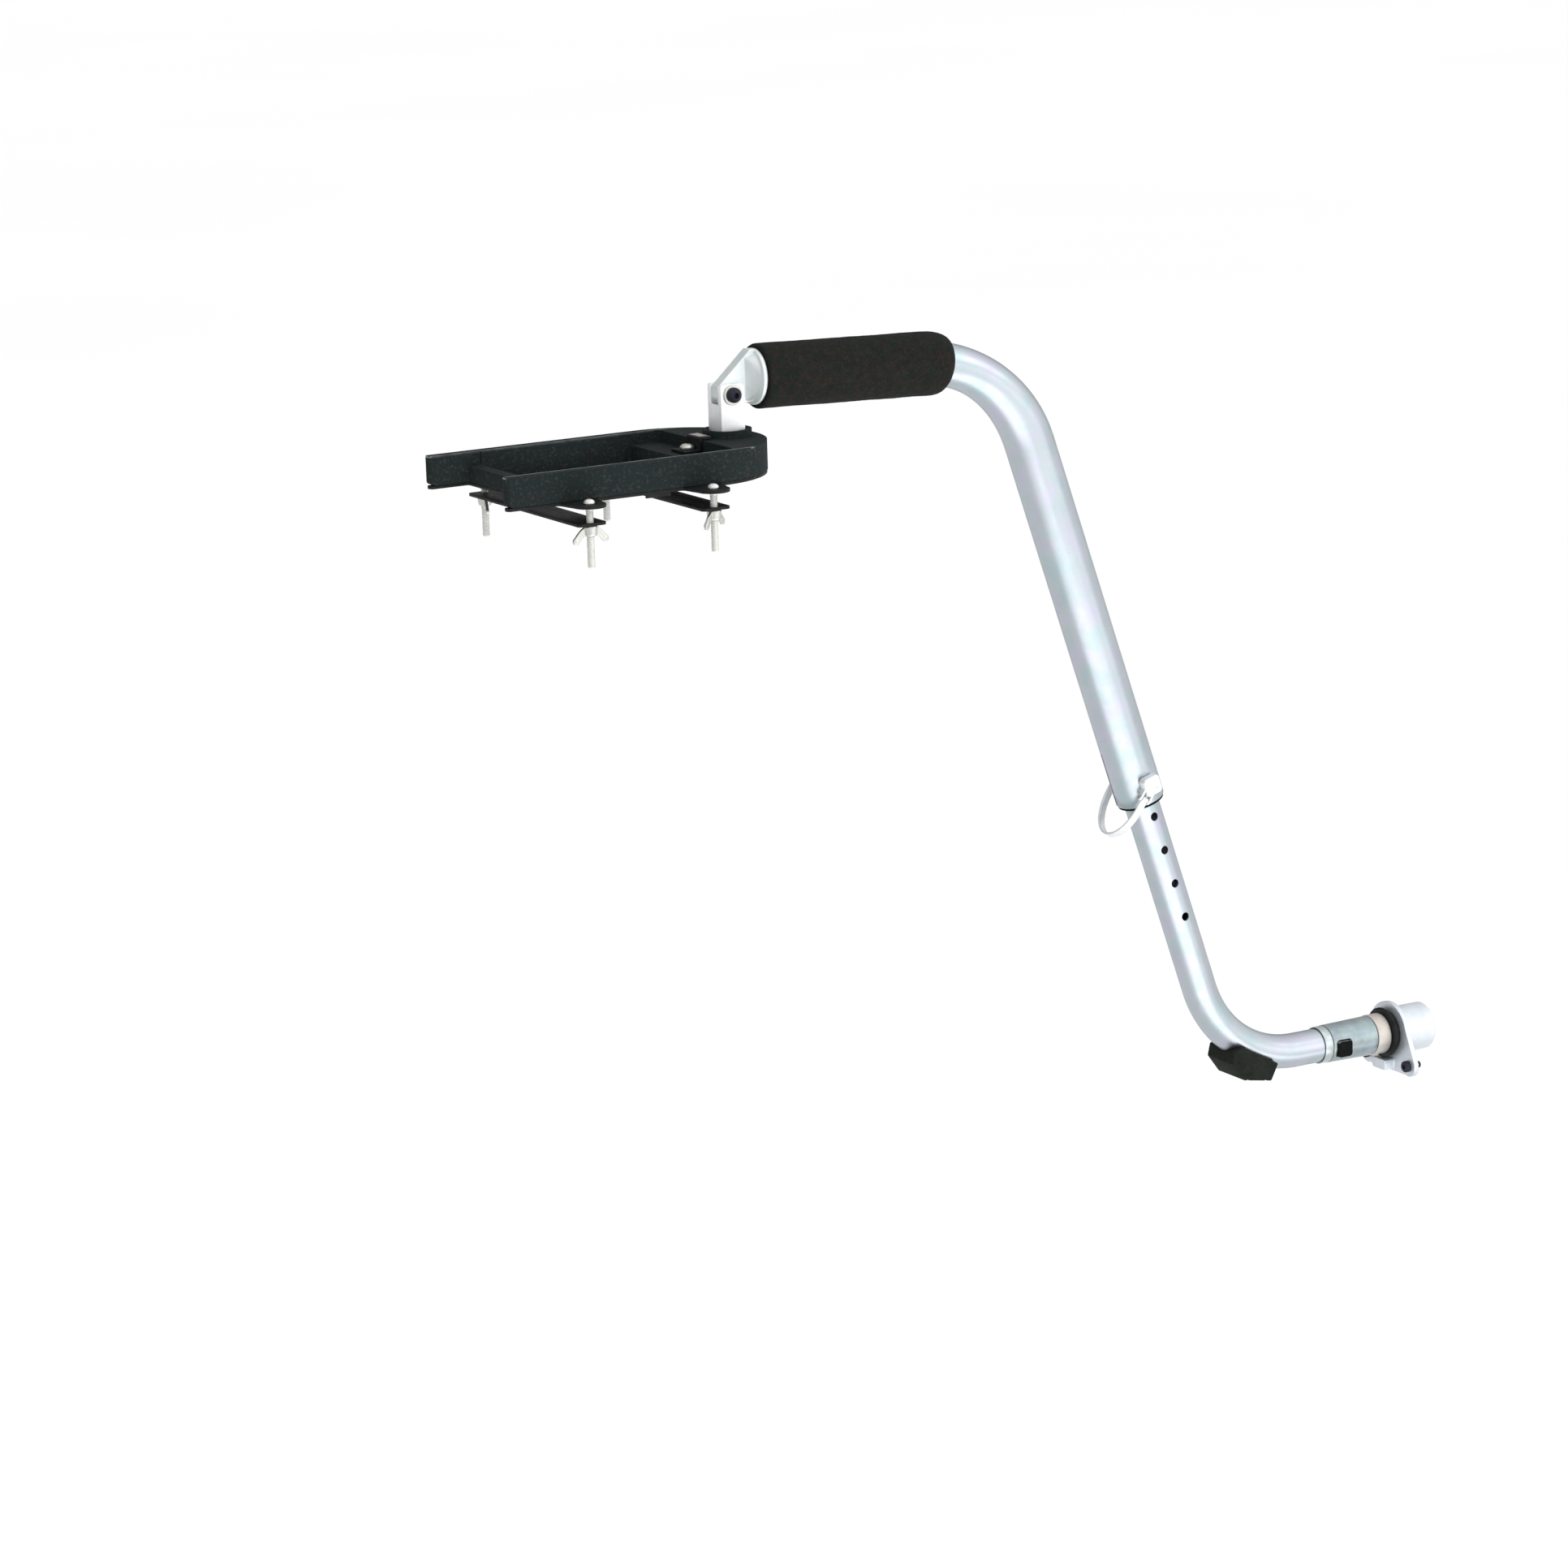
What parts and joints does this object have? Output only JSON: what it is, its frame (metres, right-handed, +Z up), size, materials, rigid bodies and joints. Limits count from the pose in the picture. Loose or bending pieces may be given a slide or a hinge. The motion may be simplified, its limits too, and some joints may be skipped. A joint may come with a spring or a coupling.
{
  "type": "dog bike trailer tow bar",
  "caption": "Bent telescopic tow bar of a bicycle dog trailer, with a clamping rear-rack shoe, swivel post and knuckle, foam grip, lock pin, and a push-button coupling with its receiver",
  "frame": {"origin": "underside of the rack shoe's base plate, on the swivel axis", "axes": "+X to the rear towards the trailer, +Y to the right of the direction of travel, +Z up; stored with the shoe level, the arm in line with the bicycle and its foot at the height of the picture"},
  "size_m": [0.768, 0.1739, 0.5903],
  "materials": {
    "moulding": "fine moulded texture, satin black",
    "coated_steel": "black powder coat",
    "plated_steel": "bright zinc plating",
    "polished_steel": "polished",
    "cast_alloy": "cast, lightly blasted, white silver",
    "tube_alloy": "satin anodised, slightly bluish silver",
    "zinc_sleeve": "zinc plated, grey green",
    "foam": "closed-cell foam, black with fine speckle",
    "black_plastic": "moulded, black",
    "seal_rubber": "smooth black rubber",
    "black_steel": "black oxide"
  },
  "bodies": {
    "rack_shoe": {"base_plate": "coated_steel", "shoe_frame": "moulding", "swivel_bush": "black_plastic", "stop_bracket": "plated_steel", "deck_screw": "plated_steel", "front_screw": "plated_steel", "clamp_bolt_front_left": "plated_steel", "clamp_bolt_front_right": "plated_steel", "clamp_bolt_rear_left": "plated_steel", "clamp_bolt_rear_right": "plated_steel"},
    "front_bar": {"clamp_bar_front": "coated_steel"},
    "rear_bar": {"clamp_bar_rear": "coated_steel"},
    "front_left_nut": {"wing_nut_front_left": "plated_steel"},
    "front_right_nut": {"wing_nut_front_right": "plated_steel"},
    "rear_left_nut": {"wing_nut_rear_left": "plated_steel"},
    "rear_right_nut": {"wing_nut_rear_right": "plated_steel"},
    "swivel_post": {"post": "cast_alloy", "post_washer": "plated_steel", "retaining_washer": "plated_steel", "post_nut": "plated_steel", "pivot_washer_left": "plated_steel", "pivot_washer_right": "plated_steel", "pivot_bolt": "black_steel", "pivot_nut": "plated_steel"},
    "knuckle_body": {"knuckle": "cast_alloy", "pivot_sleeve": "black_steel", "spigot_washer": "plated_steel", "spigot_bolt": "plated_steel"},
    "upper_arm": {"upper_tube": "tube_alloy", "foam_grip": "foam", "roll_bush": "black_plastic", "guide_bush": "black_plastic"},
    "lower_arm": {"lower_tube": "tube_alloy", "slider_bush": "black_plastic", "foot": "black_plastic", "foot_screw": "plated_steel", "joint_band": "polished_steel", "coupling_sleeve": "zinc_sleeve", "end_ring": "polished_steel"},
    "button": {"release_button": "black_plastic"},
    "pin": {"lock_pin": "polished_steel", "bail_rivet": "plated_steel"},
    "pin_bail": {"bail": "polished_steel"},
    "receiver_body": {"receiver": "cast_alloy", "seal_ring": "seal_rubber", "receiver_bolt_left": "black_steel", "receiver_bolt_right": "black_steel"}
  },
  "joints": [
    {"name": "swivel", "type": "hinge", "parent": "rack_shoe", "child": "swivel_post", "pos_m": [0, 0, 0.0241], "axis": [0, 0, 1], "range_deg": [-90, 90]},
    {"name": "pitch", "type": "hinge", "parent": "swivel_post", "child": "knuckle_body", "pos_m": [0, 0, 0.0503], "axis": [0, -1, 0], "range_deg": [-15, 75]},
    {"name": "roll", "type": "hinge", "parent": "knuckle_body", "child": "upper_arm", "pos_m": [0.0224, 0, 0.0597], "axis": [0.9994, 0, -0.0349], "range_deg": [-30, 30]},
    {"name": "telescope", "type": "slide", "parent": "upper_arm", "child": "lower_arm", "axis": [0.3123, 0, -0.95], "range_m": [-0.108, 0.054]},
    {"name": "bail_swing", "type": "hinge", "parent": "pin", "child": "pin_bail", "pos_m": [0.31472, -0.0212, -0.26828], "axis": [-0.848, 0, 0.53], "range_deg": [0, 110]},
    {"name": "pin_pull", "type": "slide", "parent": "upper_arm", "child": "pin", "axis": [0, -1, 0], "range_m": [0, 0.034]},
    {"name": "button_press", "type": "slide", "parent": "lower_arm", "child": "button", "axis": [0, 1, 0], "range_m": [0, 0.002], "stiffness_N_per_m": 400},
    {"name": "receiver_off", "type": "slide", "parent": "lower_arm", "child": "receiver_body", "axis": [1, 0, 0], "range_m": [0, 0.055]},
    {"name": "front_bar_drop", "type": "slide", "parent": "rack_shoe", "child": "front_bar", "axis": [0, 0, -1], "range_m": [0, 0.01]},
    {"name": "front_left_nut_turn", "type": "hinge", "parent": "front_bar", "child": "front_left_nut", "pos_m": [-0.145, -0.075, -0.0123], "axis": [0, 0, -1], "range_deg": [0, 4500]},
    {"name": "front_right_nut_turn", "type": "hinge", "parent": "front_bar", "child": "front_right_nut", "pos_m": [-0.145, 0.075, -0.0123], "axis": [0, 0, -1], "range_deg": [0, 4500]},
    {"name": "rear_bar_drop", "type": "slide", "parent": "rack_shoe", "child": "rear_bar", "axis": [0, 0, -1], "range_m": [0, 0.01]},
    {"name": "rear_left_nut_turn", "type": "hinge", "parent": "rear_bar", "child": "rear_left_nut", "pos_m": [-0.0535, -0.075, -0.0123], "axis": [0, 0, -1], "range_deg": [0, 4500]},
    {"name": "rear_right_nut_turn", "type": "hinge", "parent": "rear_bar", "child": "rear_right_nut", "pos_m": [-0.0535, 0.075, -0.0123], "axis": [0, 0, -1], "range_deg": [0, 4500]}
  ],
  "couplings": [
    {"joint": "bail_swing", "follows": "pin_pull", "rad_per_m": 56.4},
    {"joint": "front_left_nut_turn", "follows": "front_bar_drop", "rad_per_m": 7853.9},
    {"joint": "front_right_nut_turn", "follows": "front_bar_drop", "rad_per_m": 7853.9},
    {"joint": "rear_left_nut_turn", "follows": "rear_bar_drop", "rad_per_m": 7853.9},
    {"joint": "rear_right_nut_turn", "follows": "rear_bar_drop", "rad_per_m": 7853.9}
  ]
}
